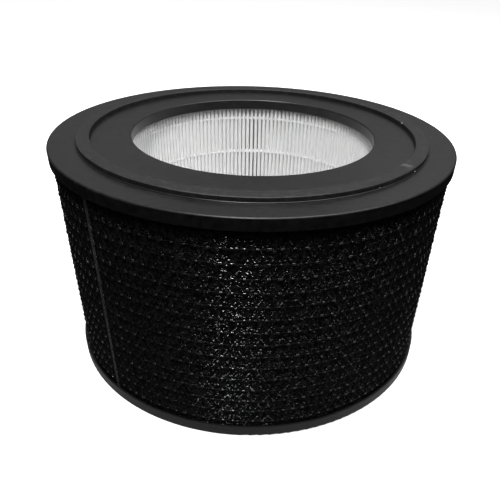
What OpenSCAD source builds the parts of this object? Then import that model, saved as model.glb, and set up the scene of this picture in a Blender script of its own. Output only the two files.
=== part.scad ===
// Round pleated air filter cartridge with a carbon wrap, a netting and a top seal.
// Millimetres. The origin is the middle of the foot, and +Z runs up the bore.

/* [Overall] */
// Outside diameter of both end caps
cap_d = 368.3; // [345:0.1:400]
// Height of the top flange face above the foot
flange_z = 212; // [120:0.5:320]
// Depth of the folds, which sets how wide the open centre is
pleat_depth = 58.4; // [45:0.1:70]

/* [End caps] */
// Thickness of the flange plates
plate_t = 2.6; // [1.6:0.1:3]
// Depth of the top cap's outer skirt
top_skirt_h = 10; // [7:0.1:20]
// Height of the bottom cap's outer skirt
bottom_skirt_h = 11; // [9:0.1:20]
// Depth of the top cap's bore lip below the flange face
top_lip_h = 8.6; // [8.2:0.1:16]
// Height of the bottom cap's bore lip
bottom_lip_h = 11; // [8.2:0.1:16]
// Depth of the trough walls that hold the potting
trough_wall_h = 9; // [8.2:0.1:16]
// Wall thickness of the outer skirts
skirt_t = 1.7; // [1:0.1:3]
// Wall thickness of the bore lips
lip_t = 2.2; // [1.2:0.1:4]
// Wall thickness of the trough walls
trough_wall_t = 1.8; // [1:0.1:3]
// Rounding of the flange's outer edge
edge_r = 1.5; // [0.4:0.1:1.6]
// Rounding of the bore's edges
bore_edge_r = 0.9; // [0.3:0.1:1.1]
// Height of the land beside the gasket above the flange face
land_rise = 0.5; // [0:0.1:1.5]
// Height of the land at the bore's edge above the flange face
bore_rise = 1.1; // [0:0.1:2]
// Number of stop ribs in each channel that holds the wrap
stop_rib_count = 24; // [8:1:48]
// Height of a stop rib
stop_rib_h = 2; // [1:0.1:3]
// Thickness of a stop rib
stop_rib_t = 1.2; // [0.8:0.1:3]

/* [Sealing gasket] */
// Distance of the gasket from the cap's rim
gasket_inset = 24.15; // [12:0.05:35]
// Width of the gasket
gasket_w = 12; // [6:0.1:14]
// Thickness of the gasket
gasket_t = 4.8; // [3:0.1:8]
// Rounding of the gasket's edges
gasket_edge_r = 0.6; // [0.2:0.1:1.4]
// Depth of the groove that the gasket lies in
groove_h = 0.6; // [0.2:0.1:1.2]
// Width of the low kerb round the gasket
kerb_w = 1.2; // [0.6:0.1:2]
// Height of the kerb above the flange face
kerb_h = 0.7; // [0.2:0.1:1.5]
// Direction of the gasket's butt splice, from +X
splice_at = -35; // [-180:1:180]
// Width of the butt splice
splice_gap = 0.3; // [0.1:0.1:1]

/* [Pleated media] */
// Distance between folds on the bore side
pleat_pitch = 4.45; // [3.6:0.05:8]
// Thickness of the filter paper
paper_t = 0.5; // [0.3:0.05:0.6]
// Width of a fold on the bore side
inner_fold_w = 2; // [1.6:0.1:2.6]
// Width of a fold on the outer side
outer_fold_w = 2.4; // [1.6:0.1:3.4]
// Bevel that rounds the folds on the bore side
fold_bevel = 0.5; // [0.1:0.05:0.6]

/* [Potting] */
// Depth of potting in each trough
potting_h = 5; // [3.5:0.1:5.2]
// Thickness of potting beyond the ends of the folds
potting_floor = 2; // [1:0.1:2.5]
// Potting between the folds and the walls beside them
fold_margin = 0.8; // [0.4:0.1:3]

/* [Glue beads] */
// Distance between bead rows
bead_pitch = 38; // [20:1:80]
// Distance of the first bead row below the top lip
bead_from_lip = 11; // [4:0.5:30]
// Height of a bead
bead_h = 2; // [1:0.1:4]
// Thickness of the beads on the bore side
inner_bead_t = 0.5; // [0.3:0.1:1.6]

/* [Carbon wrap] */
// Thickness of the carbon sheet
sleeve_t = 3.9; // [2:0.1:8]
// Direction of the butt seam, from +X
seam_at = 226; // [0:0.1:360]
// Gap between the ends of the sheet
seam_gap = 1; // [0.4:0.1:2]
// Lean of the seam
seam_lean = 0.75; // [-2:0.05:2]
// Width of the strip over the seam
strip_w = 4; // [3:0.1:12]
// Thickness of the strip
strip_t = 0.4; // [0.2:0.05:1]

/* [Netting] */
// Distance between the hoops
hoop_pitch = 12.2; // [6:0.1:30]
// Height of the lowest hoop above the foot
first_hoop_z = 16.1; // [12:0.1:30]
// Distance between the uprights
upright_pitch = 8.8; // [5:0.1:20]
// Width of a strand
strand_w = 0.7; // [0.4:0.05:1.5]
// Thickness of a strand
strand_t = 0.4; // [0.2:0.05:0.8]

/* [Fit] */
// Gap where a piece slips into another
fit = 0.1; // [0.05:0.01:0.2]
// Gap between layers that lie on each other
layer_gap = 0.03; // [0.01:0.01:0.1]

/* [Hidden] */
$fn = 96;

// Depth that a stop rib is rooted in the walls round it
rib_root = 0.5;

// Radii from the rim inwards
cap_r = cap_d / 2;
skirt_in_r = cap_r - skirt_t;
hoop_out_r = skirt_in_r - 2 * fit;
layer_step = strand_t + layer_gap;
left_out_r = hoop_out_r - layer_step;
right_out_r = left_out_r - layer_step;
upright_out_r = right_out_r - layer_step;
net_in_r = upright_out_r - strand_t;
strip_out_r = net_in_r - layer_gap;
sleeve_out_r = strip_out_r - strip_t - layer_gap;
sleeve_in_r = sleeve_out_r - sleeve_t;
trough_out_r = sleeve_in_r - 2 * fit;
trough_in_r = trough_out_r - trough_wall_t;
media_out_r = trough_in_r - fold_margin;
media_in_r = media_out_r - pleat_depth;
lip_out_r = media_in_r - fold_margin;
bore_r = lip_out_r - lip_t;

// Radii of the gasket and its groove
gasket_out_r = cap_r - gasket_inset;
gasket_in_r = gasket_out_r - gasket_w;
groove_in_r = gasket_in_r - fit;
groove_out_r = gasket_out_r + fit;

// Heights
top_roof_z = flange_z - plate_t;
media_z = plate_t + potting_floor;
media_top_z = top_roof_z - potting_floor;
media_h = media_top_z - media_z;
wrap_z = plate_t + stop_rib_h;
wrap_top_z = top_roof_z - stop_rib_h;
wrap_h = wrap_top_z - wrap_z;

// Folds: the counts follow from the pitches
pleat_count = round(2 * PI * media_in_r / pleat_pitch);
pleat_step = 360 / pleat_count;
upright_count = round(2 * PI * hoop_out_r / upright_pitch);
upright_step = 360 / upright_count;
hoop_count = floor((wrap_top_z - strand_w - first_hoop_z) / hoop_pitch) + 1;
bead_top_z = flange_z - top_lip_h - bead_from_lip;
bead_count = floor((bead_top_z - bottom_lip_h - bead_h) / bead_pitch) + 1;

// Point at radius r and angle a
function polar(r, a) = [r * cos(a), r * sin(a)];

// Angle that a width w takes at radius r
function span(r, w) = w / r * 180 / PI;

// Face of the folded paper towards the bore
function bore_face() = [
    for (k = [0:pleat_count - 1])
        let (
            fold = k * pleat_step,
            valley = fold + pleat_step / 2,
            half_fold = span(media_in_r, inner_fold_w / 2),
            bevel = span(media_in_r, fold_bevel),
            half_valley = span(media_out_r, outer_fold_w / 2 - paper_t)
        )
        each [
            polar(media_in_r + fold_bevel, fold - half_fold),
            polar(media_in_r, fold - half_fold + bevel),
            polar(media_in_r, fold + half_fold - bevel),
            polar(media_in_r + fold_bevel, fold + half_fold),
            polar(media_out_r - paper_t, valley - half_valley),
            polar(media_out_r - paper_t, valley + half_valley)
        ]
];

// Face of the folded paper towards the wrap
function wrap_face() = [
    for (k = [0:pleat_count - 1])
        let (
            fold = k * pleat_step,
            crest = fold + pleat_step / 2,
            half_fold = span(media_in_r, inner_fold_w / 2 - paper_t),
            half_crest = span(media_out_r, outer_fold_w / 2)
        )
        each [
            polar(media_in_r + paper_t, fold - half_fold),
            polar(media_in_r + paper_t, fold + half_fold),
            polar(media_out_r, crest - half_crest),
            polar(media_out_r, crest + half_crest)
        ]
];

// Flat area between two closed outlines, the first outside the second
module between(outside, inside) {
    outside_n = len(outside);
    polygon(
        points = concat(outside, inside),
        paths = [[for (i = [0:outside_n - 1]) i], [for (i = [0:len(inside) - 1]) outside_n + i]]
    );
}

// Round tube between two radii, standing at height z
module tube(out_r, in_r, z, h) {
    translate([0, 0, z]) difference() {
        cylinder(r = out_r, h = h);
        translate([0, 0, -1]) cylinder(r = in_r, h = h + 2);
    }
}

// What rounds off a corner of a profile: sr and sz point out of the corner
module corner_cut(r, z, radius, sr, sz) {
    translate([r, z]) mirror([sr < 0 ? 1 : 0, 0]) mirror([0, sz < 0 ? 1 : 0])
        translate([-radius, -radius]) difference() {
            square(radius + 1);
            circle(radius);
        }
}

// Rectangle from a low corner to a high corner of a profile
module panel(r0, z0, r1, z1) {
    translate([r0, z0]) square([r1 - r0, z1 - z0]);
}

// Small ribs in a channel that the wrap's edge stands on, rooted in the walls round it
module stop_ribs(low_z, high_z) {
    for (k = [0:stop_rib_count - 1])
        rotate([0, 0, (k + 0.5) * 360 / stop_rib_count])
            translate([trough_out_r - rib_root, -stop_rib_t / 2, low_z])
                cube([skirt_in_r - trough_out_r + 2 * rib_root, stop_rib_t, high_z - low_z]);
}

// Section of the top cap: flange, skirt, bore lip, trough wall, gasket groove and kerb
module top_cap_profile() {
    difference() {
        union() {
            panel(bore_r, top_roof_z, cap_r, flange_z);
            panel(skirt_in_r, flange_z - top_skirt_h, cap_r, flange_z);
            panel(bore_r, flange_z - top_lip_h, lip_out_r, flange_z);
            panel(trough_in_r, flange_z - trough_wall_h, trough_out_r, flange_z);
            polygon([
                [bore_r, top_roof_z],
                [groove_in_r, top_roof_z],
                [groove_in_r, flange_z + land_rise],
                [bore_r, flange_z + bore_rise]
            ]);
            panel(groove_out_r, top_roof_z, groove_out_r + kerb_w, flange_z + kerb_h);
        }
        panel(groove_in_r, flange_z - groove_h, groove_out_r, flange_z + kerb_h + 1);
        corner_cut(cap_r, flange_z, edge_r, 1, 1);
        corner_cut(bore_r, flange_z + bore_rise, bore_edge_r, -1, 1);
        corner_cut(bore_r, flange_z - top_lip_h, bore_edge_r, -1, -1);
        corner_cut(groove_out_r + kerb_w, flange_z + kerb_h, min(kerb_w, kerb_h) * 0.8, 1, 1);
    }
}

// Section of the bottom cap: base, skirt, bore lip and trough wall
module bottom_cap_profile() {
    difference() {
        union() {
            panel(bore_r, 0, cap_r, plate_t);
            panel(skirt_in_r, 0, cap_r, bottom_skirt_h);
            panel(bore_r, 0, lip_out_r, bottom_lip_h);
            panel(trough_in_r, 0, trough_out_r, trough_wall_h);
        }
        corner_cut(cap_r, 0, edge_r, 1, -1);
        corner_cut(bore_r, 0, bore_edge_r, -1, -1);
        corner_cut(bore_r, bottom_lip_h, bore_edge_r, -1, 1);
    }
}

// Moulded ring over the top of the folds
module top_end_cap() {
    color([0.12, 0.12, 0.125]) union() {
        rotate_extrude() top_cap_profile();
        stop_ribs(wrap_top_z, top_roof_z + rib_root);
    }
}

// Moulded ring under the folds, which the cartridge stands on
module bottom_end_cap() {
    color([0.12, 0.12, 0.125]) union() {
        rotate_extrude() bottom_cap_profile();
        stop_ribs(plate_t - rib_root, wrap_z);
    }
}

// Flat rubber ring in the top cap's groove, cut once at its butt splice
module sealing_gasket() {
    base_z = flange_z - groove_h;
    top_z = base_z + gasket_t;
    color([0.16, 0.16, 0.165]) difference() {
        rotate_extrude() difference() {
            panel(gasket_in_r, base_z, gasket_out_r, top_z);
            corner_cut(gasket_in_r, top_z, gasket_edge_r, -1, 1);
            corner_cut(gasket_out_r, top_z, gasket_edge_r, 1, 1);
        }
        rotate([0, 0, splice_at]) translate([gasket_in_r - 1, -splice_gap / 2, base_z - 1])
            cube([gasket_w + 2, splice_gap, gasket_t + 2]);
    }
}

// One sheet of filter paper, folded to and fro into a ring
module pleated_media() {
    color([0.9, 0.9, 0.89]) translate([0, 0, media_z]) linear_extrude(media_h)
        between(wrap_face(), bore_face());
}

// Potting in a trough, with a groove that the fold ends stand in
module potting() {
    color([0.75, 0.72, 0.62]) rotate_extrude() difference() {
        panel(lip_out_r + fit, 0, trough_in_r - fit, potting_h);
        panel(media_in_r - fit, potting_floor, media_out_r + fit, potting_h + 1);
    }
}

// Potting under the top plate
module top_potting() {
    translate([0, 0, top_roof_z]) mirror([0, 0, 1]) potting();
}

// Potting on the bottom plate
module bottom_potting() {
    translate([0, 0, plate_t]) potting();
}

// Rows of hot-melt bead between two radii
module bead_rows(in_r, out_r) {
    bead_r = min(bead_h, out_r - in_r) / 4;
    color([0.93, 0.93, 0.9]) for (k = [0:bead_count - 1])
        translate([0, 0, bead_top_z - k * bead_pitch]) rotate_extrude() difference() {
            panel(in_r, -bead_h / 2, out_r, bead_h / 2);
            corner_cut(in_r, bead_h / 2, bead_r, -1, 1);
            corner_cut(in_r, -bead_h / 2, bead_r, -1, -1);
        }
}

// Bead rows that tie the folds on the bore side
module inner_glue_beads() {
    bead_rows(media_in_r - fit - inner_bead_t, media_in_r - fit);
}

// Bead rows between the folds and the carbon wrap
module outer_glue_beads() {
    bead_rows(media_out_r + fit, sleeve_in_r - fit);
}

// Upright slab through the wrap at its seam
module seam_slab(width) {
    rotate([0, 0, seam_at]) translate([sleeve_in_r, 0, (wrap_z + wrap_top_z) / 2])
        rotate([seam_lean, 0, 0]) cube([4 * sleeve_t, width, 2 * wrap_h], center = true);
}

// Carbon sheet round the folds, with its ends butted at the seam
module carbon_sleeve() {
    color([0.06, 0.06, 0.065]) difference() {
        tube(sleeve_out_r, sleeve_in_r, wrap_z, wrap_h);
        seam_slab(seam_gap);
    }
}

// Strip that closes the seam from outside
module sleeve_seam_strip() {
    color([0.13, 0.13, 0.135]) intersection() {
        tube(strip_out_r, strip_out_r - strip_t, wrap_z, wrap_h);
        seam_slab(strip_w);
    }
}

// Strands that lean to one side. Flat cuts through a thin tube stand in for helices, and a slightly
// smaller lean spreads what is left of the difference over the height
module leaning_strands(out_r, side) {
    middle_z = first_hoop_z + floor(hoop_count / 2) * hoop_pitch;
    reach_z = max(wrap_top_z - middle_z, middle_z - wrap_z);
    slope = PI * out_r / 180 * upright_step / hoop_pitch;
    reach = min(reach_z * slope / out_r, 0.9);
    lean = atan(slope * (1 - reach * reach / 8));
    near_r = out_r * sqrt(1 - reach * reach) - 3;
    color([0.09, 0.09, 0.095]) intersection() {
        tube(out_r, out_r - strand_t, wrap_z, wrap_h);
        for (k = [0:upright_count - 1])
            rotate([0, 0, k * upright_step]) translate([near_r, 0, middle_z])
                rotate([side * lean, 0, 0]) translate([0, -strand_w / 2, -2 * reach_z])
                    cube([out_r - near_r + 1, strand_w, 4 * reach_z]);
    }
}

// Upright strands, the netting's layer nearest the wrap
module netting_uprights() {
    color([0.09, 0.09, 0.095]) translate([0, 0, wrap_z]) linear_extrude(wrap_h)
        for (k = [0:upright_count - 1])
            rotate(k * upright_step) translate([upright_out_r - strand_t, -strand_w / 2])
                square([strand_t, strand_w]);
}

// Strands that lean one way
module netting_right_strands() {
    leaning_strands(right_out_r, -1);
}

// Strands that lean the other way
module netting_left_strands() {
    leaning_strands(left_out_r, 1);
}

// Level hoops, the netting's outermost layer
module netting_hoops() {
    color([0.09, 0.09, 0.095]) rotate_extrude() for (k = [0:hoop_count - 1])
        translate([hoop_out_r - strand_t, first_hoop_z + k * hoop_pitch - strand_w / 2])
            square([strand_t, strand_w]);
}

top_end_cap();
bottom_end_cap();
sealing_gasket();
pleated_media();
top_potting();
bottom_potting();
inner_glue_beads();
outer_glue_beads();
carbon_sleeve();
sleeve_seam_strip();
netting_uprights();
netting_right_strands();
netting_left_strands();
netting_hoops();
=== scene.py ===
"""Round air filter cartridge, dressed for a studio picture.

White folded filter paper stands between two black moulded end caps. A flat sponge rubber seal lies on
the top cap, and a carbon felt wrap with a netting over it closes the outside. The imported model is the
frame. The caps, the seal, the felt, the tape over its seam and what is hidden keep their solids and get
a finish. Modelled here are the paper, its glue, the netting with its knots, the carbon grains on the
felt, a fine skin on the flange's edge, and the dabs of dried glue beside the seal. Lengths are in
millimetres unless a name says otherwise, and angles go round from +X.
"""

import logging
import math
from dataclasses import dataclass, field
from enum import Enum

import bpy
import numpy as np
from mathutils import Matrix, Vector

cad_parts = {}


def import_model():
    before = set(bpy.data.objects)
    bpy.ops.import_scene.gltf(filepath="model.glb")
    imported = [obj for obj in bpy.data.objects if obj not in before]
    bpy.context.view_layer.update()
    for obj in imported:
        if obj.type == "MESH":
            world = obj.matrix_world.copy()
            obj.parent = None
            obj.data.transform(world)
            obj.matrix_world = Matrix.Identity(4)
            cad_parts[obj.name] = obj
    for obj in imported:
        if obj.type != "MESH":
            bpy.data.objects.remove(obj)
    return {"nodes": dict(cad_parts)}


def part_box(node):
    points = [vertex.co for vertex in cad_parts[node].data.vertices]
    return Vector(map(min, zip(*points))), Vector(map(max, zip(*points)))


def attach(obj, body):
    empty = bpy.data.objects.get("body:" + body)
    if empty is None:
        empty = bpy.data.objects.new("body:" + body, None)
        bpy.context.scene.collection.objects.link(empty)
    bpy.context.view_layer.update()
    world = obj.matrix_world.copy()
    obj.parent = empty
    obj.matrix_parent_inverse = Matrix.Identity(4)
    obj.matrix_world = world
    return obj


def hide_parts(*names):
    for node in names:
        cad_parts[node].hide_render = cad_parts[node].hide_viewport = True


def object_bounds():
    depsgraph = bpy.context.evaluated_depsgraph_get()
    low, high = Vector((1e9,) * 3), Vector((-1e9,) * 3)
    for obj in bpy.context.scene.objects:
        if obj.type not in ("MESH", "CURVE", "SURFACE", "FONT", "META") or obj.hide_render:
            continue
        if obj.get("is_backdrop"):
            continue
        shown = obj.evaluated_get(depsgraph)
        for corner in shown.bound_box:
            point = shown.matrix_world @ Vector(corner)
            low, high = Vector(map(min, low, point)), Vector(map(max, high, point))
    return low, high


MM = 0.001
BODY = "root"

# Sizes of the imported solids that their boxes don't give: from the outside of the potting to the folds,
# the height of a glue bead, and the thickness and width of a netting strand
FOLD_MARGIN = 0.7
PACKED_BEAD_H = 2.0
PACKED_STRAND_T = 0.4
PACKED_STRAND_W = 0.7

log = logging.getLogger("cartridge")


def linear(code: str) -> tuple[float, float, float, float]:
    """Turns an sRGB hex colour into linear values.

    Args:
        code: Six hex digits after a hash.

    Returns:
        Red, green, blue and alpha, linear.
    """
    parts = [int(code[i : i + 2], 16) / 255 for i in (1, 3, 5)]
    r, g, b = (c / 12.92 if c <= 0.04045 else ((c + 0.055) / 1.055) ** 2.4 for c in parts)
    return r, g, b, 1.0


def per_metre(size_mm: float) -> float:
    """Returns the texture scale that gives features of about this size."""
    return 1 / (size_mm * MM)


def round_turn(count: int) -> np.ndarray:
    """Returns the angles that share a full turn equally, in radians."""
    return np.arange(count) * math.tau / count


def add(
    tree: bpy.types.NodeTree,
    kind: str,
    feeds: dict[str | int, object] | None = None,
    **settings: object,
) -> bpy.types.Node:
    """Adds a node, with its settings and links.

    Args:
        tree: Tree that the node goes into.
        kind: Blender's name for the node.
        feeds: Value, or another node's output, for each input by name or number.
        settings: Values for the node's own properties.

    Returns:
        The new node.
    """
    node = tree.nodes.new(kind)
    for name, value in settings.items():
        setattr(node, name, value)
    for socket, source in (feeds or {}).items():
        if isinstance(source, bpy.types.NodeSocket):
            tree.links.new(source, node.inputs[socket])
        else:
            node.inputs[socket].default_value = source
    return node


class Slot(Enum):
    """Material slot names."""

    CAP = "cap_plastic"
    GASKET = "gasket_rubber"
    PAPER = "filter_paper"
    POTTING = "potting"
    HOT_MELT = "hot_melt"
    FELT = "carbon_felt"
    TAPE = "seam_tape"
    NETTING = "netting_plastic"


class Lean(Enum):
    """The way that a netting strand leans as it rises, seen from outside."""

    RIGHT = 1
    LEFT = -1


@dataclass(frozen=True)
class Finish:
    """What every finish holds: its colours, roughness, IOR, height of relief and strength of gloss."""

    colour: str
    shade: str
    roughness: float
    ior: float
    relief: float
    gloss: float

    def start(self, name: str) -> tuple[bpy.types.Material, bpy.types.NodeTree, bpy.types.Node]:
        """Makes an empty material with its shader and output.

        Args:
            name: The material's name.

        Returns:
            The material, its tree and its main shader.
        """
        material = bpy.data.materials.new(name)
        material.use_nodes = True
        tree = material.node_tree
        tree.nodes.clear()
        levels = {"Roughness": self.roughness, "IOR": self.ior, "Specular IOR Level": self.gloss}
        shader = add(tree, "ShaderNodeBsdfPrincipled", levels)
        add(tree, "ShaderNodeOutputMaterial", {"Surface": shader.outputs["BSDF"]})
        return material, tree, shader

    def place(self, tree: bpy.types.NodeTree) -> bpy.types.NodeSocket:
        """Returns the point on the object, in metres."""
        return add(tree, "ShaderNodeTexCoord").outputs["Object"]

    def mottle(
        self, tree: bpy.types.NodeTree, where: bpy.types.NodeSocket, size: float, detail: float = 4
    ) -> bpy.types.NodeSocket:
        """Adds a soft noise.

        Args:
            tree: The material's tree.
            where: Point that the noise is read at.
            size: Size of its patches.
            detail: Number of finer layers in it.

        Returns:
            The noise, from 0 to 1.
        """
        feeds = {"Vector": where, "Scale": per_metre(size), "Detail": detail}
        return add(tree, "ShaderNodeTexNoise", feeds).outputs["Fac"]

    def blend(
        self,
        tree: bpy.types.NodeTree,
        amount: bpy.types.NodeSocket,
        low: float = 0.3,
        high: float = 0.7,
    ) -> bpy.types.NodeSocket:
        """Adds a ramp from the shade to the colour.

        Args:
            tree: The material's tree.
            amount: What runs along the ramp.
            low: Where the shade ends.
            high: Where the colour is reached.

        Returns:
            The ramp's colour.
        """
        ramp = add(tree, "ShaderNodeValToRGB", {"Fac": amount})
        ends = ramp.color_ramp.elements
        ends[0].position, ends[0].color = low, linear(self.shade)
        ends[1].position, ends[1].color = high, linear(self.colour)
        return ramp.outputs["Color"]

    def vary(
        self, tree: bpy.types.NodeTree, amount: bpy.types.NodeSocket, low: float, high: float
    ) -> bpy.types.NodeSocket:
        """Returns amount, from 0.3 to 0.7, spread between two values."""
        spread = {"Value": amount, "From Min": 0.3, "From Max": 0.7, "To Min": low, "To Max": high}
        return add(tree, "ShaderNodeMapRange", spread).outputs["Result"]

    def bump(
        self, tree: bpy.types.NodeTree, height: bpy.types.NodeSocket, strength: float = 1.0
    ) -> bpy.types.NodeSocket:
        """Returns the normal of a surface with this relief on it."""
        feeds = {"Height": height, "Strength": strength, "Distance": self.relief * MM}
        return add(tree, "ShaderNodeBump", feeds).outputs["Normal"]


@dataclass(frozen=True)
class MouldedAbs(Finish):
    """Black ABS from a finely blasted mould: satin, with flow clouds, rubbed patches and some dust."""

    colour: str = "#161617"
    shade: str = "#060606"
    roughness: float = 0.35
    ior: float = 1.5
    relief: float = 0.05
    gloss: float = 0.5
    grain: float = 0.9
    dust: float = 4.0
    cloud: float = 40.0

    def make(self, name: str) -> bpy.types.Material:
        """Makes the material.

        Args:
            name: Its name.

        Returns:
            The material.
        """
        material, tree, shader = self.start(name)
        where = self.place(tree)
        # The dust and the mould's grain are about 0.1 mm, and are drawn coarser so that they show
        dust = self.mottle(tree, where, self.dust, 8)
        grain = self.mottle(tree, where, self.grain, 2)
        links = tree.links.new
        links(self.blend(tree, dust, 0.36, 0.68), shader.inputs["Base Color"])
        cloud = self.mottle(tree, where, self.cloud)
        rubbed = self.vary(tree, cloud, self.roughness - 0.05, self.roughness + 0.06)
        links(rubbed, shader.inputs["Roughness"])
        links(self.bump(tree, grain, 0.5), shader.inputs["Normal"])
        return material


@dataclass(frozen=True)
class SpongeRubber(Finish):
    """Black EPDM sponge strip with a thin skin: dull, finely pitted and dusty, with glue at its splice.

    The smear is the dried glue: its length across the strip, and its width along it.
    """

    colour: str = "#19191a"
    shade: str = "#020202"
    roughness: float = 0.6
    ior: float = 1.5
    relief: float = 0.16
    gloss: float = 0.42
    pore: float = 1.5
    dust: float = 6.0
    dust_colour: str = "#282829"
    splice_deg: float = -36.0
    splice_r: float = 152.4
    smear: tuple[float, float] = (12.0, 8.5)
    smear_colour: str = "#363636"

    def fade(
        self, tree: bpy.types.NodeTree, value: bpy.types.NodeSocket, middle: float, width: float
    ) -> bpy.types.NodeSocket:
        """Adds a soft spot along one axis.

        Args:
            tree: The material's tree.
            value: The place along the axis, in metres.
            middle: Where the spot's middle is.
            width: The spot's width.

        Returns:
            1 in the inner half of the width, and 0 outside it.
        """
        off = add(tree, "ShaderNodeMath", {0: value, 1: middle * MM}, operation="SUBTRACT")
        size = add(tree, "ShaderNodeMath", {0: off.outputs["Value"]}, operation="ABSOLUTE")
        edge = {"Value": size.outputs["Value"], "From Min": width / 4 * MM, "From Max": width / 2 * MM}
        fall = {**edge, "To Min": 1.0, "To Max": 0.0}
        soft = add(tree, "ShaderNodeMapRange", fall, interpolation_type="SMOOTHSTEP")
        return soft.outputs["Result"]

    def make(self, name: str) -> bpy.types.Material:
        """Makes the material.

        Args:
            name: Its name.

        Returns:
            The material.
        """
        material, tree, shader = self.start(name)
        where = self.place(tree)
        # The skin's pits are about 0.5 mm, and are drawn three times as coarse so that they show
        pits = self.mottle(tree, where, self.pore, 6)
        cloud = self.vary(tree, self.mottle(tree, where, self.dust, 6), -0.5, 0.6)
        skin = self.blend(tree, pits, 0.4, 0.66)
        dust = {0: cloud, 6: skin, 7: linear(self.dust_colour)}
        dusty = add(tree, "ShaderNodeMix", dust, data_type="RGBA").outputs[2]
        turn = {"Vector": where, "Angle": -math.radians(self.splice_deg)}
        turned = add(tree, "ShaderNodeVectorRotate", turn, rotation_type="Z_AXIS").outputs["Vector"]
        axes = add(tree, "ShaderNodeSeparateXYZ", {"Vector": turned}).outputs
        long = self.fade(tree, axes["X"], self.splice_r, self.smear[0])
        wide = self.fade(tree, axes["Y"], 0.0, self.smear[1])
        spot = add(tree, "ShaderNodeMath", {0: long, 1: wide}, operation="MULTIPLY").outputs["Value"]
        smeared = {0: spot, 6: dusty, 7: linear(self.smear_colour)}
        mixed = add(tree, "ShaderNodeMix", smeared, data_type="RGBA").outputs[2]
        tree.links.new(mixed, shader.inputs["Base Color"])
        tree.links.new(self.bump(tree, pits), shader.inputs["Normal"])
        return material


@dataclass(frozen=True)
class GlassFibrePaper(Finish):
    """White wet-laid glass-fibre paper: quite matt, with a faint cloudy formation and lint."""

    colour: str = "#f9f9f9"
    shade: str = "#f4f4f4"
    roughness: float = 0.92
    ior: float = 1.5
    relief: float = 0.06
    gloss: float = 0.2
    cloud: float = 9.0
    lint: float = 1.2
    soak: float = 1.5

    def make(self, name: str) -> bpy.types.Material:
        """Makes the material.

        Args:
            name: Its name.

        Returns:
            The material.
        """
        material, tree, shader = self.start(name)
        where = self.place(tree)
        links = tree.links.new
        links(self.blend(tree, self.mottle(tree, where, self.cloud)), shader.inputs["Base Color"])
        # The fibres are microns wide, so their tufts are drawn near 1 mm instead
        links(self.bump(tree, self.mottle(tree, where, self.lint)), shader.inputs["Normal"])
        # Light soaks into the thin paper and comes out behind it, so that the folds glow softly
        shader.inputs["Subsurface Weight"].default_value = 1.0
        shader.inputs["Subsurface Radius"].default_value = (1.0, 1.0, 1.0)
        shader.inputs["Subsurface Scale"].default_value = self.soak * MM
        return material


@dataclass(frozen=True)
class CastPolyurethane(Finish):
    """Ivory polyurethane, poured and set in the caps: smooth, satin, a little cloudy."""

    colour: str = "#e2dcc6"
    shade: str = "#d3ccb2"
    roughness: float = 0.38
    ior: float = 1.5
    relief: float = 0.1
    gloss: float = 0.5
    cloud: float = 14.0

    def make(self, name: str) -> bpy.types.Material:
        """Makes the material.

        Args:
            name: Its name.

        Returns:
            The material.
        """
        material, tree, shader = self.start(name)
        cloud = self.mottle(tree, self.place(tree), self.cloud)
        tree.links.new(self.blend(tree, cloud), shader.inputs["Base Color"])
        tree.links.new(self.bump(tree, cloud), shader.inputs["Normal"])
        return material


@dataclass(frozen=True)
class HotMelt(Finish):
    """White EVA hot-melt, laid as a string: dull, waxy and soft-edged, with gentle lumps."""

    colour: str = "#ebebeb"
    shade: str = "#e2e2e2"
    roughness: float = 0.75
    ior: float = 1.48
    relief: float = 0.2
    gloss: float = 0.2
    lump: float = 3.0

    def make(self, name: str) -> bpy.types.Material:
        """Makes the material.

        Args:
            name: Its name.

        Returns:
            The material.
        """
        material, tree, shader = self.start(name)
        lump = self.mottle(tree, self.place(tree), self.lump)
        tree.links.new(self.blend(tree, lump), shader.inputs["Base Color"])
        tree.links.new(self.bump(tree, lump), shader.inputs["Normal"])
        return material


@dataclass(frozen=True)
class CarbonFelt(Finish):
    """Needled felt loaded with activated carbon: nearly black, rough, with tufts and carbon grains."""

    colour: str = "#232323"
    shade: str = "#050505"
    roughness: float = 0.95
    ior: float = 1.4
    relief: float = 0.6
    gloss: float = 0.05
    tuft: float = 3.0
    grit: float = 1.1

    def make(self, name: str) -> bpy.types.Material:
        """Makes the material.

        Args:
            name: Its name.

        Returns:
            The material.
        """
        material, tree, shader = self.start(name)
        where = self.place(tree)
        tufts = self.mottle(tree, where, self.tuft, 6)
        # The carbon's grit is about 0.5 mm, and is drawn twice as coarse so that it shows
        cells = {"Vector": where, "Scale": per_metre(self.grit)}
        grit = add(tree, "ShaderNodeTexVoronoi", cells, feature="F1")
        height = add(tree, "ShaderNodeMath", {0: tufts, 1: grit.outputs["Distance"]}, operation="ADD")
        links = tree.links.new
        links(self.blend(tree, tufts, 0.4, 0.66), shader.inputs["Base Color"])
        links(self.bump(tree, height.outputs["Value"]), shader.inputs["Normal"])
        return material


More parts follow.
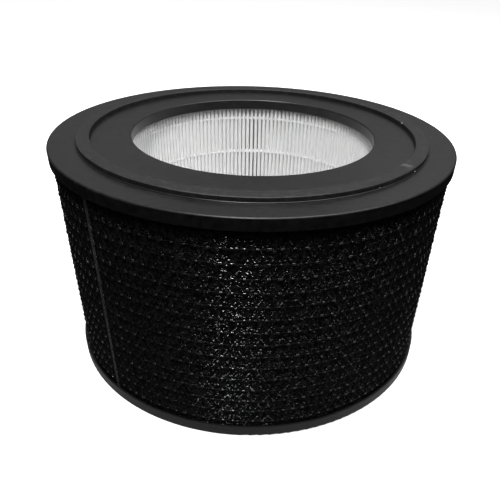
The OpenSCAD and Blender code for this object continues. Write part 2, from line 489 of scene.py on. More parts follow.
@dataclass(frozen=True)
class WovenTape(Finish):
    """Dark grey woven binding tape: crossing threads that catch a little light."""

    colour: str = "#4a4a4b"
    shade: str = "#2b2b2c"
    roughness: float = 0.8
    ior: float = 1.5
    relief: float = 0.15
    gloss: float = 0.5
    thread: float = 2.4

    def make(self, name: str) -> bpy.types.Material:
        """Makes the material.

        Args:
            name: Its name.

        Returns:
            The material.
        """
        material, tree, shader = self.start(name)
        where = self.place(tree)
        # The threads are about 0.3 mm apart, and are drawn eight times as coarse so that they show.
        # A wave texture of scale 1 repeats every tau / 20 metres.
        wave = {"Vector": where, "Scale": per_metre(self.thread) * math.tau / 20, "Distortion": 0.6}
        weft = add(tree, "ShaderNodeTexWave", wave, bands_direction="Z")
        wear = self.mottle(tree, where, 4 * self.thread)
        both = add(tree, "ShaderNodeMath", {0: weft.outputs["Fac"], 1: wear}, operation="MULTIPLY")
        tree.links.new(self.blend(tree, both.outputs["Value"], 0.1, 0.6), shader.inputs["Base Color"])
        tree.links.new(self.bump(tree, weft.outputs["Fac"]), shader.inputs["Normal"])
        return material


@dataclass(frozen=True)
class ExtrudedPolyethylene(Finish):
    """Black polyethylene netting, drawn from a rotating die: glossy strands, slightly uneven."""

    colour: str = "#080808"
    shade: str = "#040404"
    roughness: float = 0.42
    ior: float = 1.51
    relief: float = 0.03
    gloss: float = 0.2
    streak: float = 2.5

    def make(self, name: str) -> bpy.types.Material:
        """Makes the material.

        Args:
            name: Its name.

        Returns:
            The material.
        """
        material, tree, shader = self.start(name)
        # The die's streaks are about 0.1 mm wide, and are drawn as soft patches so that they show
        streaks = self.mottle(tree, self.place(tree), self.streak)
        links = tree.links.new
        links(self.blend(tree, streaks), shader.inputs["Base Color"])
        patchy = self.vary(tree, streaks, self.roughness - 0.05, self.roughness + 0.07)
        links(patchy, shader.inputs["Roughness"])
        links(self.bump(tree, streaks), shader.inputs["Normal"])
        return material


@dataclass(frozen=True)
class StudioPaper(Finish):
    """White background paper on the floor: matt, almost even, and lit a little from below."""

    colour: str = "#f7f7f7"
    shade: str = "#f3f3f3"
    roughness: float = 0.9
    ior: float = 1.4
    relief: float = 0.05
    gloss: float = 0.0
    glow: float = 0.76
    cloud: float = 300.0

    def make(self, name: str) -> bpy.types.Material:
        """Makes the material.

        Args:
            name: Its name.

        Returns:
            The material.
        """
        material, tree, shader = self.start(name)
        cloud = self.mottle(tree, self.place(tree), self.cloud)
        tree.links.new(self.blend(tree, cloud), shader.inputs["Base Color"])
        shader.inputs["Emission Color"].default_value = linear(self.colour)
        shader.inputs["Emission Strength"].default_value = self.glow
        return material


@dataclass
class Draft:
    """Points and faces of a mesh while it is being built, in millimetres."""

    points: list[np.ndarray] = field(default_factory=list)
    faces: list[np.ndarray] = field(default_factory=list)
    count: int = 0
    smooth: bool = True

    def grid(self, rows: np.ndarray, joined: bool = False) -> None:
        """Adds a net of quads between rows that are loops.

        Args:
            rows: Points as an array of rows, points in a row, and three coordinates.
            joined: Whether the last row joins the first.
        """
        count, size = rows.shape[:2]
        index = np.arange(count * size).reshape(count, size) + self.count
        along = np.concatenate([index, index[:1]]) if joined else index
        net = np.concatenate([along, along[:, :1]], axis=1)
        quads = np.stack([net[:-1, :-1], net[:-1, 1:], net[1:, 1:], net[1:, :-1]], axis=-1)
        self.points.append(rows.reshape(-1, 3))
        self.faces.append(quads.reshape(-1, 4))
        self.count += count * size

    def strand(
        self, path: np.ndarray, thick: np.ndarray, wide: np.ndarray, sides: int, loop: bool
    ) -> None:
        """Adds a round strand that follows a path on an upright cylinder.

        Args:
            path: Points that the strand's middle follows.
            thick: Half of its thickness across the cylinder, at each point.
            wide: Half of its width along the cylinder, at each point.
            sides: Number of sides of its section.
            loop: Whether it is a closed ring.
        """
        out = path * [1, 1, 0]
        out /= np.linalg.norm(out, axis=1, keepdims=True)
        if loop:
            ahead = np.roll(path, -1, axis=0) - np.roll(path, 1, axis=0)
        else:
            ahead = np.gradient(path, axis=0)
        ahead /= np.linalg.norm(ahead, axis=1, keepdims=True)
        side = np.cross(ahead, out)
        side /= np.linalg.norm(side, axis=1, keepdims=True)
        turn = round_turn(sides)
        rows = (
            path[:, None]
            + out[:, None] * (thick[:, None] * np.cos(turn))[..., None]
            + side[:, None] * (wide[:, None] * np.sin(turn))[..., None]
        )
        self.grid(rows, joined=loop)

    def bars(
        self,
        middle: np.ndarray,
        along: np.ndarray,
        out: np.ndarray,
        thick: np.ndarray,
        roll: np.ndarray,
        sides: int,
    ) -> None:
        """Adds small straight bars with open ends.

        Args:
            middle: Their middles.
            along: From each middle to the bar's end.
            out: The way out from the axis, at each.
            thick: Half of each one's thickness.
            roll: How far each is turned about its own length.
            sides: Number of sides of their section.
        """
        across = np.cross(out, along)
        across /= np.linalg.norm(across, axis=1, keepdims=True)
        away = np.cross(along, across)
        away /= np.linalg.norm(away, axis=1, keepdims=True)
        turns = [roll[:, None] + k * math.tau / sides for k in range(sides)]
        sways = [thick[:, None] * (np.cos(turn) * away + np.sin(turn) * across) for turn in turns]
        corners = np.stack([middle + end * along + sway for end in (-1, 1) for sway in sways], axis=1)
        ring = np.arange(sides)
        after = (ring + 1) % sides
        quads = np.stack([ring, after, after + sides, ring + sides], axis=-1)
        first = np.arange(len(middle))[:, None, None] * 2 * sides + self.count
        self.points.append(corners.reshape(-1, 3))
        self.faces.append((first + quads).reshape(-1, 4))
        self.count += 2 * sides * len(middle)

    def build(
        self, name: str, finish: bpy.types.Material, slot: Slot, replaced: tuple[str, ...] = ()
    ) -> bpy.types.Object:
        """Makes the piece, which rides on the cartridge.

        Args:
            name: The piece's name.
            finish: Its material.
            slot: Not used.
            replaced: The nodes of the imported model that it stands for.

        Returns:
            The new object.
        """
        points = np.concatenate(self.points) * MM
        mesh = bpy.data.meshes.new(name)
        mesh.from_pydata(points.tolist(), [], np.concatenate(self.faces).tolist())
        mesh.polygons.foreach_set("use_smooth", [self.smooth] * len(mesh.polygons))
        mesh.materials.append(finish)
        mesh.update()
        piece = bpy.data.objects.new(name, mesh)
        bpy.context.scene.collection.objects.link(piece)
        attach(piece, BODY)
        if replaced:
            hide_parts(*replaced)
        return piece


@dataclass
class Dresser:
    """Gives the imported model's own solids their finish."""

    nodes: dict[str, bpy.types.Object]

    def dress(self, name: str, finish: bpy.types.Material) -> None:
        """Gives a solid its finish.

        Args:
            name: The node's name.
            finish: Its material.
        """
        mesh = self.nodes[name].data
        mesh.materials.clear()
        mesh.materials.append(finish)


def on_cylinder(
    angle: np.ndarray | float, radius: np.ndarray | float, height: np.ndarray | float
) -> np.ndarray:
    """Turns cylinder coordinates into points.

    Args:
        angle: Angles from +X, in radians.
        radius: Distances from the axis.
        height: Heights above the foot.

    Returns:
        The points, with their three coordinates last.
    """
    angle, radius, height = np.broadcast_arrays(angle, radius, height)
    return np.stack([radius * np.cos(angle), radius * np.sin(angle), height], axis=-1)


def lying(
    angle: np.ndarray, length: np.ndarray, tilt_deg: float, rng: np.random.Generator
) -> tuple[np.ndarray, np.ndarray]:
    """Finds directions round a cylinder, each tilted a little by chance.

    Args:
        angle: Angles where they start.
        length: Their lengths.
        tilt_deg: How far they tilt, as a standard deviation.
        rng: Where the tilts come from.

    Returns:
        The directions with their lengths, and the ways out from the axis.
    """
    out = on_cylinder(angle, 1.0, 0.0)
    level = np.stack([-np.sin(angle), np.cos(angle), np.zeros(len(angle))], axis=-1)
    tilt = np.tan(np.radians(rng.normal(0, tilt_deg, (2, len(angle), 1))))
    return length[:, None] * (level + tilt[0] * out + tilt[1] * np.array([0.0, 0.0, 1.0])), out


@dataclass
class EndCaps:
    """The two moulded rings, and the sponge seal in the upper one's groove.

    The seal's face lies seal_rise above the flange. A dab is given by its angle in degrees, distance
    from the axis, height above the seal's face, and radius.
    """

    dresser: Dresser
    rim_r: float
    seal_top: float
    seal_rise: float = 4.2
    edge_r: float = 1.5
    skin: float = 0.02
    edge_steps: int = 12
    edge_sides: int = 480
    plastic: MouldedAbs = MouldedAbs()
    rubber: SpongeRubber = SpongeRubber()
    dabs: tuple[tuple[float, float, float, float], ...] = (
        (11.0, 148.3, -0.4, 1.0),
        (-36.6, 160.5, -2.6, 0.5),
        (-53.9, 160.5, -3.1, 0.4),
    )
    dab_flat: float = 0.8

    def flange_edge(self) -> Draft:
        """Builds a fine skin on the flange's rounded edge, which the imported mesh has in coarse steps.

        Returns:
            Its mesh.
        """
        draft = Draft()
        bend = np.radians(np.linspace(-2, 92, self.edge_steps))[:, None]
        r = self.edge_r + self.skin
        radius = self.rim_r - self.edge_r + r * np.cos(bend)
        middle_z = self.seal_top - self.seal_rise - self.edge_r
        draft.grid(on_cylinder(round_turn(self.edge_sides), radius, middle_z + r * np.sin(bend)))
        return draft

    def dried_glue(self) -> Draft:
        """Builds the small dabs of dried glue at the seal's edges.

        Returns:
            Their mesh.
        """
        draft = Draft()
        rise = np.radians([-80, -45, 0, 45, 80])[:, None]
        lump = on_cylinder(round_turn(8), np.cos(rise), self.dab_flat * np.sin(rise))
        for angle, radius, height, size in self.dabs:
            draft.grid(on_cylinder(np.radians(angle), radius, self.seal_top + height) + size * lump)
        return draft

    def make(self) -> list[str]:
        """Dresses the rings and the seal, and adds the edge's skin and the dabs of glue.

        Returns:
            The names of these pieces.
        """
        black = self.plastic.make("moulded_black_abs")
        self.dresser.dress("top_end_cap", black)
        self.dresser.dress("bottom_end_cap", black)
        self.dresser.dress("sealing_gasket", self.rubber.make("skinned_sponge_rubber"))
        glue = HotMelt("#b4b4b2", "#8c8c8a").make("dried_glue")
        rubbed = MouldedAbs(roughness=0.4, gloss=0.32).make("edge_of_moulded_abs")
        self.flange_edge().build("flange_edge", rubbed, Slot.CAP)
        self.dried_glue().build("seal_glue_dabs", glue, Slot.GASKET)
        return ["top_end_cap", "bottom_end_cap", "flange_edge", "sealing_gasket", "seal_glue_dabs"]


@dataclass
class PleatPack:
    """The folded paper, the hot-melt between its folds, and the potting that holds its ends.

    A bead is set a little into the folds, and lies deeper between two of them, by the recess. The nose
    is the round of a fold on the bore side, from flank to flank: sideways and back, in half widths. From
    free_from above or below a bead the folds are free to wander.
    """

    dresser: Dresser
    low_z: float
    high_z: float
    out_r: float
    low_bead_z: float
    high_bead_z: float
    fold_depth: float = 58.4
    folds: int = 162
    paper_t: float = 0.5
    fold_w: float = 3.1
    outer_fold_w: float = 2.4
    rows: int = 17
    bead_rows: int = 5
    bead_h: float = 2.4
    bead_inset: float = 0.32
    bead_half_t: float = 0.25
    bead_uneven: float = 0.12
    recess: float = 0.9
    fin_reach: float = 9.0
    fin_outer_w: float = 1.4
    fin_bite: float = 0.15
    fin_uneven: float = 0.2
    uneven: float = 0.028
    uneven_depth: float = 0.6
    free_from: float = 16.0
    wander_h: float = 31.0
    nose: tuple[tuple[float, float], ...] = (
        (-1.0, 1.0),
        (-0.86, 0.42),
        (-0.5, 0.1),
        (0.0, 0.0),
        (0.5, 0.1),
        (0.86, 0.42),
        (1.0, 1.0),
    )
    seed: int = 7

    def __post_init__(self) -> None:
        """Works out the radii of the folds' bore side and of the beads, and the beads' heights."""
        self.in_r = self.out_r - self.fold_depth
        self.bead_r = self.in_r + self.bead_inset
        self.bead_z = np.linspace(self.high_bead_z, self.low_bead_z, self.bead_rows)

    def paper(self) -> Draft:
        """Builds the paper as one closed sheet with round folds.

        Returns:
            Its mesh.
        """
        rng = np.random.default_rng(self.seed)
        draft = Draft()
        step = math.tau / self.folds
        fold = np.arange(self.folds) * step
        z = np.linspace(self.low_z, self.high_z, self.rows)
        # Between the beads each fold wanders a little sideways and in depth
        sway = rng.normal(0, self.uneven, (3, self.folds))
        free = np.clip(np.min(np.abs(z[:, None] - self.bead_z), axis=1) / self.free_from, 0, 1)
        lean = sway[0] + free[:, None] * sway[1] * np.cos(z / self.wander_h + 1)[:, None]
        depth = self.uneven_depth * np.abs(sway[2])[None] * np.ones(self.rows)[:, None]
        half = self.fold_w / 2
        bore, wrap = [], []
        for across, back in self.nose:
            r = self.in_r + back * half + depth
            bore.append(on_cylinder(fold + (lean + across * half) / self.in_r, r, z[:, None]))
            inner = half - self.paper_t
            r = self.in_r + self.paper_t + back * inner + depth
            wrap.append(on_cylinder(fold + (lean + across * inner) / self.in_r, r, z[:, None]))
        wide = self.outer_fold_w / 2
        for side in (-1, 1):
            valley = fold + step / 2 + side * (wide - self.paper_t) / self.out_r
            crest = fold + step / 2 + side * wide / self.out_r
            bore.append(on_cylinder(valley, self.out_r - self.paper_t, z[:, None]))
            wrap.append(on_cylinder(crest, self.out_r, z[:, None]))
        bore_rows = np.stack(bore, axis=2).reshape(self.rows, -1, 3)
        wrap_rows = np.stack(wrap, axis=2).reshape(self.rows, -1, 3)
        draft.grid(np.concatenate([bore_rows, wrap_rows[::-1]]), joined=True)
        return draft

    def glue(self) -> Draft:
        """Builds the beads on the bore side, with the glue that reaches in between the folds.

        Returns:
            Their mesh.
        """
        rng = np.random.default_rng(self.seed + 1)
        draft = Draft()
        samples = self.folds * 4
        angle = round_turn(samples)
        between = 0.5 - 0.5 * np.cos(angle * self.folds)
        soft = np.ones(7) / 7
        for z in self.bead_z:
            rough = rng.normal(0, self.bead_uneven, samples + len(soft) - 1)
            noise = np.convolve(rough, soft, mode="valid")
            path = on_cylinder(angle, self.bead_r + self.recess * between, z + noise)
            thick = np.full(samples, self.bead_half_t)
            wide = self.bead_h / 2 * (1 - 0.12 * between) + 0.3 * noise
            draft.strand(path, thick, wide, 8, loop=True)
            self.fins(draft, z, rng)
        return draft

    def fins(self, draft: Draft, z: float, rng: np.random.Generator) -> None:
        """Adds the glue between the folds at one height.

        Args:
            draft: Mesh that the fins are added to.
            z: Their height.
            rng: Where their small differences come from.
        """
        step = math.tau / self.folds
        radii = np.linspace(self.bead_r + self.recess, self.in_r + self.fin_reach, 4)
        gaps = [step * self.in_r - self.fold_w, self.fin_outer_w]
        half_w = np.interp(radii, [self.in_r, self.out_r], gaps) / 2 + self.fin_bite
        half_h = self.bead_h / 2 * np.array([0.95, 1.1, 0.9, 0.7])
        corner = np.array([(-1, -1), (1, -1), (1, 1), (-1, 1)])
        for k in range(self.folds):
            mid = (k + 0.5) * step
            rise = z + rng.normal(0, self.fin_uneven)
            angle = mid + corner[:, 0] * (half_w / radii)[:, None]
            height = rise + corner[:, 1] * half_h[:, None]
            draft.grid(on_cylinder(angle, radii[:, None], height))

    def make(self) -> list[bpy.types.Object]:
        """Builds the paper and its glue, and dresses what is hidden.

        Returns:
            The new pieces.
        """
        melt = HotMelt().make("white_hot_melt")
        cast = CastPolyurethane().make("poured_polyurethane")
        white = GlassFibrePaper().make("folded_glass_fibre_paper")
        self.dresser.dress("outer_glue_beads", melt)
        self.dresser.dress("inner_glue_beads", melt)
        self.dresser.dress("pleated_media", white)
        self.dresser.dress("top_potting", cast)
        self.dresser.dress("bottom_potting", cast)
        return [
            self.paper().build("folded_paper", white, Slot.PAPER, ("pleated_media",)),
            self.glue().build("fold_glue", melt, Slot.HOT_MELT, ("inner_glue_beads",)),
        ]


@dataclass
class CarbonWrap:
    """The carbon felt round the folds with its grains, and the tape over its seam.

    The grains keep clear of the caps. They are rolled about their own length by chance, with a mean and
    a spread in degrees, so that they don't all glint alike.
    """

    dresser: Dresser
    low_z: float
    high_z: float
    out_r: float
    felt: CarbonFelt = CarbonFelt()
    tape: WovenTape = WovenTape()
    foot_clear: float = 1.0
    top_clear: float = 12.0
    grains: int = 24000
    grain_l: float = 0.36
    grain_r: float = 0.16
    tilt_deg: float = 1.8
    roll_deg: tuple[float, float] = (-7.0, 8.0)
    seed: int = 5

    def grain_layer(self) -> Draft:
        """Builds the carbon grains that show on the felt: short, lying, in line with the hoops.

        Returns:
            Their mesh.
        """
        rng = np.random.default_rng(self.seed)
        draft = Draft(smooth=False)
        angle = rng.uniform(0, math.tau, self.grains)
        height = rng.uniform(self.low_z + self.foot_clear, self.high_z - self.top_clear, self.grains)
        length = self.grain_l * rng.uniform(0.5, 1.3, self.grains)
        thick = self.grain_r * rng.uniform(0.5, 1.3, self.grains)
        along, out = lying(angle, length, self.tilt_deg, rng)
        roll = np.radians(rng.normal(*self.roll_deg, self.grains))
        draft.bars(on_cylinder(angle, self.out_r, height), along, out, thick, roll, 3)
        return draft

    def make(self) -> list[str]:
        """Dresses the felt and the tape, and adds the grains.

        Returns:
            The names of these pieces.
        """
        self.dresser.dress("carbon_sleeve", self.felt.make("carbon_felt"))
        self.dresser.dress("sleeve_seam_strip", self.tape.make("woven_seam_tape"))
        chip = ExtrudedPolyethylene(roughness=0.26, gloss=0.7).make("carbon_grain")
        self.grain_layer().build("carbon_grains", chip, Slot.FELT)
        return ["carbon_sleeve", "sleeve_seam_strip", "carbon_grains"]


@dataclass
class Netting:
    """Extruded netting over the wrap: hoops, uprights and strands that lean both ways, fused at knots.

    Each kind of strand has its own lift, the distance of its middle from the felt at the knots. Between
    them it dips to the felt. The boxes give half lengths: a knot's length, height and depth, and the
    length and thickness of a burr and of a weld. The uneven values are spreads, in millimetres.
    """

    low_z: float
    high_z: float
    inside_r: float
    first_z: float
    last_z: float
    columns: int = 130
    hoops: int = 16
    hoop_lift: float = 0.74
    left_lift: float = 0.59
    right_lift: float = 0.44
    upright_lift: float = 0.24
    half_t: float = 0.16
    half_w: float = 0.15
    web: float = 1.0
    knot_box: tuple[float, float, float] = (1.0, 0.82, 0.44)
    tilt_deg: float = 1.0
    bare_hoops: int = 15
    burrs_a_knot: int = 5
    burr_box: tuple[float, float] = (0.42, 0.22)
    burr_rise: tuple[float, float] = (1.2, 6.5)
    burr_lift: float = 0.1
    top_clear: float = 12.0
    roll_deg: tuple[float, float] = (-7.0, 8.0)
    weld_box: tuple[float, float] = (1.3, 0.3)
    weld_at: float = 1.15
    dip_deg: tuple[float, float] = (16.0, 3.0)
    end_clear: float = 0.3
    sag: float = 0.15
    column_uneven: float = 0.28
    column_uneven_most: float = 0.7
    knot_uneven: tuple[float, float] = (0.12, 0.15)
    seed: int = 11

    def __post_init__(self) -> None:
        """Works out how far apart the hoops are, and where the knots are."""
        self.pitch = (self.last_z - self.first_z) / (self.hoops - 1)
        self.hoop_r = self.inside_r + self.hoop_lift
        rng = np.random.default_rng(self.seed)
        step = math.tau / self.columns
        drift = rng.normal(0, self.column_uneven, self.columns)
        drift = np.clip(drift, -self.column_uneven_most, self.column_uneven_most)
        self.column = np.arange(self.columns) * step + drift / self.hoop_r
        # Two levels are added past either end for the strands that run on there
        shape = (self.hoops + 4, self.columns)
        self.knot_shift = rng.normal(0, self.knot_uneven[0], shape) / self.hoop_r
        self.knot_z = rng.normal(0, self.knot_uneven[1], shape)
        self.knot_scale = np.clip(rng.normal(1, 0.2, shape), 0.5, 1.4)
        self.middle = self.hoops // 2

    def knot_at(
        self, column: np.ndarray, level: np.ndarray
    ) -> tuple[np.ndarray, np.ndarray, np.ndarray]:
        """Finds knots of the netting.

        Args:
            column: Numbers of their columns, which may run past a full turn.
            level: Numbers of their hoops, which may run past the ends.

        Returns:
            Their angles, heights and sizes.
        """
        turns, inside = np.divmod(column, self.columns)
        row = np.clip(level + 2, 0, self.hoops + 3)
        angle = self.column[inside] + turns * math.tau + self.knot_shift[row, inside]
        height = self.first_z + level * self.pitch + self.knot_z[row, inside]
        return angle, height, self.knot_scale[row, inside]

    def stations(self, spans: int, pitch: float, near: tuple[float, ...]) -> np.ndarray:
        """Finds where a strand has its points: some on both sides of each knot, and one midway.

        Args:
            spans: Number of spaces between its knots.
            pitch: Distance from knot to knot.
            near: Distances of the near points from their knot.

        Returns:
            The points' places along the strand, in spans.
        """
        close = np.array(near) / pitch
        one = np.concatenate([close, [0.5], 1 - close[::-1]])
        return (np.arange(spans)[:, None] + one).ravel()

    def strand_through(
        self, draft: Draft, column: np.ndarray, level: np.ndarray, radius: float, slim: float
    ) -> None:
        """Adds a strand that passes from knot to knot, and dips to the felt on both sides of each.

        Args:
            draft: Mesh that it is added to.
            column: Numbers of the columns that it passes.
            level: Numbers of the hoops that it passes.
            radius: Its distance from the axis at the knots.
            slim: Its width as a share of the hoops' width.
        """
        angle, height, size = self.knot_at(column, level)
        pitch = math.hypot(self.pitch, (column[1] - column[0]) * math.tau * radius / self.columns)
        at = self.stations(len(column) - 1, pitch, (0.8, 2.6))
        nearest = np.rint(at).astype(int)
        near = (np.abs(at - nearest) * pitch < 1).astype(float)
        turn = np.interp(at, np.arange(len(column)), angle)
        z = np.interp(at, np.arange(len(column)), height)
        kept = (z > self.low_z + self.end_clear) & (z < self.high_z - self.end_clear)
        path = on_cylinder(turn, self.inside_r + (radius - self.inside_r) * near, z)[kept]
        swell = (1 + self.web * near * size[nearest])[kept]
        draft.strand(path, self.half_t * swell, slim * self.half_w * swell, 4, loop=False)

    def leaning(self, lean: Lean, radius: float) -> Draft:
        """Builds the strands that lean one way.

        Args:
            lean: The way that they lean.
            radius: Their distance from the axis.

        Returns:
            Their mesh.
        """
        draft = Draft()
        level = np.arange(-2, self.hoops + 2)
        for k in range(self.columns):
            self.strand_through(draft, k + lean.value * (level - self.middle), level, radius, 0.85)
        return draft

    def uprights(self) -> Draft:
        """Builds the upright strands.

        Returns:
            Their mesh.
        """
        draft = Draft()
        level = np.arange(-2, self.hoops + 2)
        radius = self.inside_r + self.upright_lift
        for k in range(self.columns):
            self.strand_through(draft, np.full(len(level), k), level, radius, 0.6)
        return draft

    def rings(self) -> Draft:
        """Builds the hoops.

        Returns:
            Their mesh.
        """
        draft = Draft()
        column = np.arange(self.columns + 1)
        at = self.stations(self.columns, math.tau * self.hoop_r / self.columns, (0.9,))
        slack = self.sag * np.abs(at - np.rint(at)) * 2
        full = np.ones(len(at))
        for level in range(self.hoops):
            angle, height, _ = self.knot_at(column, np.full(self.columns + 1, level))
            turn, z = np.interp(at, column, angle), np.interp(at, column, height)
            path = on_cylinder(turn, self.hoop_r - slack, z)
            draft.strand(path, self.half_t * full, self.half_w * full, 6, loop=True)
        return draft

    def lumps(
        self,
        angle: np.ndarray,
        radius: float,
        height: np.ndarray,
        box: tuple[np.ndarray, np.ndarray, np.ndarray],
    ) -> Draft:
        """Builds small rounded lumps that lie in line with the hoops, each turned a little.

        Args:
            angle: Their angles.
            radius: Their distance from the axis.
            height: Their heights.
            box: Half of each one's length, height and depth.

        Returns:
            Their mesh.
        """
        rng = np.random.default_rng(self.seed + len(angle))
        long, high, deep = (size[:, None, None] for size in box)
        # Places along a lump, in half lengths, and how full its section is there
        along = np.array([-1.3, -1.0, -0.75, 0.75, 1.0, 1.3])[None, :, None]
        full = np.array([0.3, 1.0, 1.0, 1.0, 1.0, 0.3])[None, :, None]
        turn = round_turn(6)[None, None, :]
        yaw, roll = np.tan(np.radians(rng.normal(0, self.tilt_deg, (2, len(angle), 1, 1))))
        out = deep * full * np.cos(turn) + yaw * along * long
        up = -high * full * np.sin(turn) + roll * along * long
        turned = angle[:, None, None] + along * long / radius
        draft = Draft()
        for lump in on_cylinder(turned, radius + out, height[:, None, None] + up):
            draft.grid(lump)
        return draft

    def bare_knots(self) -> tuple[np.ndarray, np.ndarray, np.ndarray]:
        """Finds the knots that show: all but those behind the top cap's skirt.

        Returns:
            Their angles, heights and sizes.
        """
        level, column = np.divmod(np.arange(self.bare_hoops * self.columns), self.columns)
        return self.knot_at(column, level)

    def knots(self) -> Draft:
        """Builds the knots, pressed flat and shiny by the die.

        Returns:
            Their mesh.
        """
        angle, height, size = self.bare_knots()
        box = tuple(half * size for half in self.knot_box)
        return self.lumps(angle, self.hoop_r, height, box)

    def burrs(self) -> Draft:
        """Builds the rough burrs that stand on the leaning strands above the knots.

        Returns:
            Their mesh.
        """
        rng = np.random.default_rng(self.seed + 2)
        draft = Draft(smooth=False)
        angle, height, _ = (np.repeat(v, self.burrs_a_knot) for v in self.bare_knots())
        up = rng.uniform(*self.burr_rise, len(angle))
        side = rng.choice([-1.0, 1.0], len(angle))
        kept = height + up < self.high_z - self.top_clear
        angle = (angle + side * up * math.tau / self.columns / self.pitch)[kept]
        length, thick = (size * rng.uniform(0.6, 1.2, len(angle)) for size in self.burr_box)
        along, out = lying(angle, length, 3 * self.tilt_deg, rng)
        roll = np.radians(rng.normal(*self.roll_deg, len(angle)))
        middle = on_cylinder(angle, self.inside_r + self.burr_lift, (height + up)[kept])
        draft.bars(middle, along, out, thick, roll, 3)
        return draft

    def welds(self) -> Draft:
        """Builds the bare, shiny start of each leaning strand above its knot, where it dips.

        Returns:
            Their mesh.
        """
        rng = np.random.default_rng(self.seed + 3)
        draft = Draft()
        angle, height, size = self.bare_knots()
        out = on_cylinder(angle, 1.0, 0.0)
        right = np.stack([-np.sin(angle), np.cos(angle), np.zeros(len(angle))], axis=-1)
        rise = np.array([0.0, 0.0, self.pitch])
        long, thick = self.weld_box
        for lean in Lean:
            ahead = lean.value * right * math.tau * self.hoop_r / self.columns + rise
            ahead /= np.linalg.norm(ahead, axis=1, keepdims=True)
            dip = np.radians(rng.normal(*self.dip_deg, (len(angle), 1)))
            along = long * size[:, None] * (ahead * np.cos(dip) - out * np.sin(dip))
            middle = on_cylinder(angle, self.hoop_r, height) + self.weld_at * along
            draft.bars(middle, along, out, thick * size, np.zeros(len(angle)), 4)
        return draft

    def make(self) -> list[bpy.types.Object]:
        """Builds and dresses the netting.

        Returns:
            Its pieces.
        """
        black = ExtrudedPolyethylene(roughness=0.45, gloss=0.14).make("extruded_black_polyethylene")
        bare = ExtrudedPolyethylene(roughness=0.28, gloss=0.6).make("bare_black_polyethylene")
        dull = ExtrudedPolyethylene(roughness=0.55, gloss=0.08).make("dull_black_polyethylene")
        shiny = ExtrudedPolyethylene(roughness=0.21, gloss=0.9).make("pressed_black_polyethylene")
        kind = Slot.NETTING
        right = self.leaning(Lean.RIGHT, self.inside_r + self.right_lift)
        left = self.leaning(Lean.LEFT, self.inside_r + self.left_lift)
        return [
            self.rings().build("net_hoops", black, kind, ("netting_hoops",)),
            self.knots().build("net_knots", shiny, kind),
            self.burrs().build("net_burrs", bare, kind),
            self.welds().build("net_welds", shiny, kind),
            right.build("net_right", dull, kind, ("netting_right_strands",)),
            left.build("net_left", dull, kind, ("netting_left_strands",)),
            self.uprights().build("net_uprights", dull, kind, ("netting_uprights",)),
        ]


@dataclass(frozen=True)
class SoftBox:
    """A soft studio light, placed by its direction from the cartridge.

    The azimuth goes from the front round to the right, and the elevation up, both in degrees.
    """

    name: str
    azimuth: float
    elevation: float
    distance_m: float
    wide_m: float
    high_m: float
    power: float

    def make(self, target: Vector) -> bpy.types.Object:
        """Hangs the light and turns it to the target.

        Args:
            target: The point that it faces, in metres.

        Returns:
            The light.
        """
        a, e = math.radians(self.azimuth), math.radians(self.elevation)
        away = Vector((math.sin(a) * math.cos(e), -math.cos(a) * math.cos(e), math.sin(e)))
        data = bpy.data.lights.new(self.name, "AREA")
        data.shape = "RECTANGLE"
        data.size, data.size_y = self.wide_m, self.high_m
        data.energy = self.power
        light = bpy.data.objects.new(self.name, data)
        light.location = target + away * self.distance_m
        light.rotation_mode = "QUATERNION"
        light.rotation_quaternion = (-away).to_track_quat("-Z", "Y")
        bpy.context.scene.collection.objects.link(light)
        return light


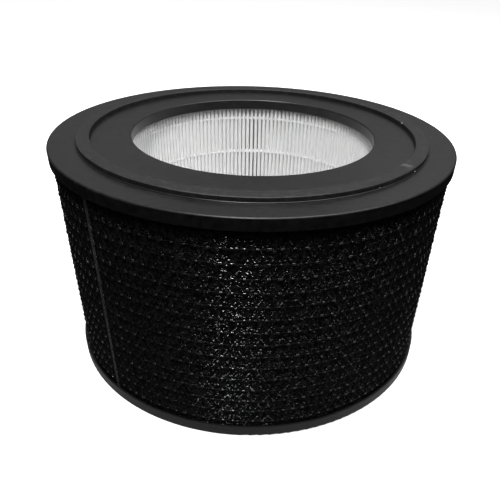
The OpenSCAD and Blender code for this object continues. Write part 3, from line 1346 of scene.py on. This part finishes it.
@dataclass
class Studio:
    """Floor, light and camera. The camera stands where the photograph was taken from.

    Its place and turn come from the ellipses in the photograph. It stands back from the cartridge's
    axis, at a height above the foot, and its angles are in degrees.
    """

    target: Vector
    image_px: float = 500.0
    focal_px: float = 527.7
    centre_x_px: float = 260.56
    centre_y_px: float = 316.16
    back: float = 502.07
    height: float = 363.72
    pitch: float = 36.06
    yaw: float = 1.503
    roll: float = 2.046
    sensor: float = 36.0
    floor_m: float = 30.0
    floor_z: float = -0.6
    table_r: float = 302.0
    table_z: float = -0.3
    table_sides: int = 96
    backdrop: str = "#f4f4f4"
    sky: str = "#9c9c9c"
    haze: str = "#646464"
    haze_at: float = 0.35
    ground: str = "#101010"
    pale_side: tuple[float, float, float] = (-0.05, 0.29, 1.0)
    boxes: tuple[SoftBox, ...] = (
        SoftBox("overhead", 75, 82, 1.7, 1.3, 1.3, 20),
        SoftBox("front_key", -13, 68, 1.6, 0.07, 0.4, 18.5),
        SoftBox("front_top", -13, 54, 1.9, 0.16, 0.8, 8),
        SoftBox("right_top", 85, 60, 1.8, 1.2, 1.2, 12),
        SoftBox("left_back", -158, 34, 2.0, 0.5, 0.5, 0.2),
        SoftBox("right_back", 156, 34, 2.0, 0.5, 0.5, 0.4),
        SoftBox("left_rear", -156, 70, 1.8, 0.3, 0.3, 2.0),
        SoftBox("right_rear", 156, 70, 1.8, 0.3, 0.3, 2.0),
    )

    def camera(self) -> None:
        """Makes the camera, from the photograph's own perspective."""
        p, y, r = (math.radians(v) for v in (self.pitch, self.yaw, self.roll))
        ahead = Vector((math.sin(y) * math.cos(p), math.cos(y) * math.cos(p), -math.sin(p)))
        level = Vector((math.cos(y), -math.sin(y), 0))
        above = level.cross(ahead)
        right = math.cos(r) * level + math.sin(r) * above
        up = -math.sin(r) * level + math.cos(r) * above
        data = bpy.data.cameras.new("camera")
        data.sensor_width = self.sensor
        data.lens = self.sensor * self.focal_px / self.image_px
        middle = (self.image_px - 1) / 2
        data.shift_x = -(self.centre_x_px - middle) / self.image_px
        data.shift_y = (self.centre_y_px - middle) / self.image_px
        camera = bpy.data.objects.new("camera", data)
        turned = Matrix((right, up, -ahead)).transposed().to_4x4()
        camera.matrix_world = Matrix.Translation(Vector((0, -self.back, self.height)) * MM) @ turned
        bpy.context.scene.collection.objects.link(camera)
        bpy.context.scene.camera = camera

    def ground_piece(
        self, name: str, mesh: bpy.types.Mesh, paper: bpy.types.Material
    ) -> bpy.types.Object:
        """Lays a piece of the ground.

        Args:
            name: Its name.
            mesh: Its mesh.
            paper: Its material.

        Returns:
            The piece.
        """
        mesh.materials.append(paper)
        piece = bpy.data.objects.new(name, mesh)
        bpy.context.scene.collection.objects.link(piece)
        piece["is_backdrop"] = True
        return piece

    def floor(self) -> None:
        """Lays the white floor, and the grey table top that throws light back at the cartridge."""
        white = StudioPaper().make("white_background_paper")
        grey = StudioPaper("#8c8c8c", "#888888", glow=0).make("grey_table_paper")
        # The floor shows but throws no light, and the table throws light but doesn't show
        half, low = self.floor_m / 2, self.floor_z * MM
        corners = [(-half, -half, low), (half, -half, low), (half, half, low), (-half, half, low)]
        wide = bpy.data.meshes.new("studio_floor")
        wide.from_pydata(corners, [], [(0, 1, 2, 3)])
        floor = self.ground_piece("studio_floor", wide, white)
        floor.visible_glossy = floor.visible_diffuse = False
        rim = on_cylinder(round_turn(self.table_sides), self.table_r, self.table_z) * MM
        top = bpy.data.meshes.new("table_top")
        top.from_pydata(rim.tolist(), [], [tuple(range(self.table_sides))])
        table = self.ground_piece("table_top", top, grey)
        table.visible_camera = table.visible_shadow = False

    def surroundings(self) -> None:
        """Gives the room its light: pale above and behind, dark below, and white to the camera."""
        world = bpy.data.worlds.new("studio_room")
        bpy.context.scene.world = world
        world.use_nodes = True
        tree = world.node_tree
        tree.nodes.clear()
        way = add(tree, "ShaderNodeTexCoord").outputs["Generated"]
        rise = add(tree, "ShaderNodeVectorMath", {0: way, 1: self.pale_side}, operation="DOT_PRODUCT")
        ramp = add(tree, "ShaderNodeValToRGB", {"Fac": rise.outputs["Value"]})
        stops = ramp.color_ramp.elements
        stops[0].position, stops[0].color = 0.0, linear(self.ground)
        stops[1].position, stops[1].color = 1.0, linear(self.sky)
        stops.new(self.haze_at).color = linear(self.haze)
        seen = add(tree, "ShaderNodeLightPath").outputs["Is Camera Ray"]
        mix = {0: seen, 6: ramp.outputs["Color"], 7: linear(self.backdrop)}
        both = add(tree, "ShaderNodeMix", mix, data_type="RGBA")
        light = add(tree, "ShaderNodeBackground", {"Color": both.outputs[2], "Strength": 1.0})
        add(tree, "ShaderNodeOutputWorld", {"Surface": light.outputs["Background"]})

    def make(self) -> None:
        """Sets up the camera, the floor and the light."""
        self.camera()
        self.floor()
        self.surroundings()
        for box in self.boxes:
            box.make(self.target)
        scene = bpy.context.scene
        scene.view_settings.view_transform = "Standard"
        # Light that goes to and fro between the white folds needs more bounces than usual
        scene.cycles.max_bounces = 16
        scene.cycles.diffuse_bounces = 14


def main() -> None:
    """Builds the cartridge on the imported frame."""
    logging.basicConfig(level=logging.INFO, format="%(name)s: %(message)s")
    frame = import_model()
    cad_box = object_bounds()
    dresser = Dresser(frame["nodes"])
    middle = (cad_box[0] + cad_box[1]) / 2
    Studio(target=middle).make()
    rim_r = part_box("top_end_cap")[1].x / MM
    caps = EndCaps(dresser, rim_r=rim_r, seal_top=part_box("sealing_gasket")[1].z / MM)
    log.info("end caps: %s", caps.make())
    paper_low, paper_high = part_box("pleated_media")
    bead_low, bead_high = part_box("inner_glue_beads")
    pack = PleatPack(
        dresser,
        low_z=paper_low.z / MM,
        high_z=paper_high.z / MM,
        out_r=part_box("top_potting")[1].x / MM - FOLD_MARGIN,
        low_bead_z=bead_low.z / MM + PACKED_BEAD_H / 2,
        high_bead_z=bead_high.z / MM - PACKED_BEAD_H / 2,
    )
    log.info("pleat pack: %s", [piece.name for piece in pack.make()])
    felt_low, felt_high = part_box("carbon_sleeve")
    wrap = CarbonWrap(dresser, low_z=felt_low.z / MM, high_z=felt_high.z / MM, out_r=felt_high.x / MM)
    log.info("carbon wrap: %s", wrap.make())
    net_low, net_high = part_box("netting_uprights")
    hoop_low, hoop_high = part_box("netting_hoops")
    netting = Netting(
        low_z=net_low.z / MM,
        high_z=net_high.z / MM,
        inside_r=net_high.x / MM - PACKED_STRAND_T,
        first_z=hoop_low.z / MM + PACKED_STRAND_W / 2,
        last_z=hoop_high.z / MM - PACKED_STRAND_W / 2,
    )
    log.info("netting: %s", [piece.name for piece in netting.make()])


if __name__ == "__main__":
    main()
